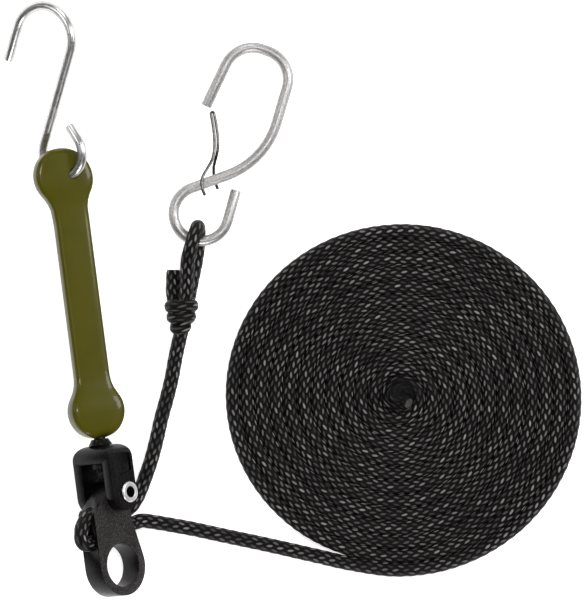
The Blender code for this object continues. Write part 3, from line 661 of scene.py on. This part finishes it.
def bendWire(name, wire, frameMatrix):
    # a ring of edges drawn along straights and spun round bends, from the loop's tip
    leave = wire["heading"] + 90
    start = leave + wire["sweep"]
    heading = start - 90
    towards = math.radians(heading)
    loop = wire["loopRadius"]
    tip = Vector((loop * math.cos(math.radians(start)) - wire["tip"] * math.cos(towards),
                  loop * math.sin(math.radians(start)) - wire["tip"] * math.sin(towards), 0))
    obj = ringStart(name, wire["sides"])
    mesh = bmesh.from_edit_mesh(obj.data)
    facing = Matrix.Rotation(towards, 4, "Z") @ Matrix.Rotation(math.pi / 2, 4, "Y")
    for corner in mesh.verts:
        corner.co = tip * mm + (facing @ (corner.co * wire["diameter"] / 2))
    bmesh.update_edit_mesh(obj.data)
    place = tip.copy()
    for step in [wire["tip"], (-wire["sweep"], loop)] + wire["steps"]:
        ahead = Vector((math.cos(math.radians(heading)), math.sin(math.radians(heading)), 0))
        if isinstance(step, tuple):
            bend, radius = step
            side = Vector((-ahead.y, ahead.x, 0)) * math.copysign(1, bend)
            centre = place + side * radius
            count = max(4, round(abs(bend) / 6))
            bpy.ops.mesh.spin(steps=count, angle=math.radians(bend), center=centre * mm,
                              axis=(0, 0, -1))
            place = centre + Matrix.Rotation(math.radians(bend), 3, "Z") @ (place - centre)
            heading += bend
        else:
            bpy.ops.mesh.extrude_region_move(TRANSFORM_OT_translate={"value": ahead * step * mm})
            place = place + ahead * step
    chosen = [v.co.copy() for v in bmesh.from_edit_mesh(obj.data).verts if v.select]
    middle = sum(chosen, Vector()) / len(chosen)
    print(name, "wire end off by", round((middle / mm - place).length, 4), "mm")
    bpy.ops.object.mode_set(mode="OBJECT")
    closeEnds(obj)
    addModifier(obj, "BEVEL", width=wire["endRound"] * mm, segments=3, limit_method="ANGLE",
                angle_limit=math.radians(60))
    applyModifiers(obj)
    smoothByAngle(obj, 50)
    return placeMesh(obj, frameMatrix)


sHookWire = {"diameter": 4.2, "sides": 24, "loopRadius": 10.5, "sweep": 237, "tip": 7.5, "heading": 58,
             "steps": [43.9, (180, 14.8), 16.0], "endRound": 0.5}
sHook = bendWire("sHookWire", sHookWire, sHookFrame)
sHook.data.materials.append(zinc)
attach(sHook, "s_hook")
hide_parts("s_hook")

snapWire = {"diameter": 4.6, "sides": 24, "loopRadius": 12.1, "sweep": 235, "tip": 14.0, "heading": 19.7,
            "steps": [16.5, (54, 35.0), 16.2, (86, 13.2), 2.5, (85, 13.2), 20.3], "endRound": 0.5}
snapHook = bendWire("snapHookWire", snapWire, snapFrame)
snapHook.data.materials.append(galvanised)
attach(snapHook, "snap_hook")
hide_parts("snap_hook")

frame["nodes"]["snap_gate"].data.materials[0] = springSteel
print("wires bent")

# Lock: housing, lever, rivet and stud, from merged copies of their solids


def refine(name, node, material, width, segments=3, angle=35):
    source = frame["nodes"][node]
    obj = bpy.data.objects.new(name, source.data.copy())
    obj.data.name = name
    scene.collection.objects.link(obj)
    editAll(obj)
    bpy.ops.mesh.remove_doubles(threshold=0.005 * mm)
    bpy.ops.mesh.dissolve_limited(angle_limit=math.radians(1.0))
    bpy.ops.object.mode_set(mode="OBJECT")
    addModifier(obj, "BEVEL", width=width * mm, segments=segments, limit_method="ANGLE",
                angle_limit=math.radians(angle), miter_outer="MITER_ARC")
    applyModifiers(obj)
    smoothByAngle(obj, 40)
    obj.data.materials.clear()
    obj.data.materials.append(material)
    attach(obj, source["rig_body"])
    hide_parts(node)
    return obj


housing = refine("lockHousing", "lock_housing", nylon, 0.8)
lever = refine("lockLever", "lock_lever", grainNylon, 0.55)
lever.data.materials.append(nylon)
across = lockFrame.to_3x3() @ Vector((0, 0, 1))
broadFace = 0.85                        # how squarely a broad face looks along the pivot
for face in lever.data.polygons:        # only the two broad faces are grained; the side faces take the darker satin nylon, smooth in truth and darker as painted shade
    if abs(face.normal.dot(across)) < broadFace:
        face.material_index = 1
rivetCore = {"pivotX": 2.2, "radius": 2.56, "top": 11.9}   # the hole down the rivet, in the lock's frame
rivet = refine("pivotRivet", "pivot_rivet", rivetSteel, 0.35)
rivet.data.materials.append(paintedShadeSteel)
lockInverse = lockFrame.inverted()
for face in rivet.data.polygons:        # the tube's inside is painted dark as shade
    place = lockInverse @ face.center
    fromAxis = math.hypot(place.x - rivetCore["pivotX"] * mm, place.y)
    if fromAxis < rivetCore["radius"] * mm and place.z < rivetCore["top"] * mm:
        face.material_index = 1
washer = refine("rivetWasher", "rivet_washer", rivetSteel, 0.25)
studCollar = {"low": 21.9, "high": 22.6, "inner": 3, "drop": 0.27}   # along the chain from the pivot
stud = refine("swivelStud", "swivel_stud", nylon, 0.3)
chainInverse = chainFrame.inverted()
along = chainFrame.to_3x3() @ Vector((0, 1, 0))
for corner in stud.data.vertices:       # the collar sits down on the housing
    place = chainInverse @ corner.co
    outside = math.hypot(place.x, place.z) > studCollar["inner"] * mm
    if outside and studCollar["low"] * mm < place.y < studCollar["high"] * mm:
        corner.co -= along * studCollar["drop"] * mm
# the retainer inside the housing is painted dark as shade
frame["nodes"]["stud_retainer"].data.materials[0] = paintedShadeSteel
print("lock finished")

# Table, lights and camera

bpy.ops.object.select_all(action="DESELECT")
bpy.ops.mesh.primitive_plane_add(size=6, location=(0, 0, -0.0002))
floor = bpy.context.object
floor.name = "floor"
paper, tree, shader = newMaterial("palePaper", Roughness=0.9)
shader.inputs["Base Color"].default_value = (0.93, 0.93, 0.93, 1)
shader.inputs["Emission Color"].default_value = (1, 1, 1, 1)
shader.inputs["Emission Strength"].default_value = 0.75
floor.data.materials.append(paper)

world = bpy.data.worlds.new("studio")
scene.world = world
world.use_nodes = True
world.node_tree.nodes["Background"].inputs["Color"].default_value = (1, 1, 1, 1)
world.node_tree.nodes["Background"].inputs["Strength"].default_value = 0.08


def softLight(name, place, aim, size, power):
    data = bpy.data.lights.new(name, "AREA")
    data.shape = "RECTANGLE"
    data.size, data.size_y = size
    data.energy = power
    light = bpy.data.objects.new(name, data)
    scene.collection.objects.link(light)
    light.location = place
    light.rotation_mode = "QUATERNION"
    light.rotation_quaternion = (Vector(aim) - Vector(place)).to_track_quat("-Z", "Y")


kitCentre = (-0.05, 0.05, 0)
softLight("left", (-1.0, 0.35, 0.85), kitCentre, (0.5, 0.5), 3.0)
softLight("right", (0.95, 0.45, 0.8), kitCentre, (0.45, 0.45), 9)
softLight("front", (0.0, -1.0, 0.75), kitCentre, (0.5, 0.35), 6.5)
softLight("back", (-0.2, 1.15, 0.75), kitCentre, (0.5, 0.35), 4)
softLight("top", (0.35, 0.5, 2.6), kitCentre, (0.35, 0.35), 14)

camera = bpy.data.objects.new("camera", bpy.data.cameras.new("camera"))
scene.collection.objects.link(camera)
camera.data.sensor_width = 36
camera.data.lens = 480
camera.location = (-0.0487, 0.0447, 3.528)
camera.rotation_euler = (0, 0, 0)
camera.data.clip_end = 20
scene.camera = camera
scene.view_settings.view_transform = "Standard"
scene.view_settings.look = "None"
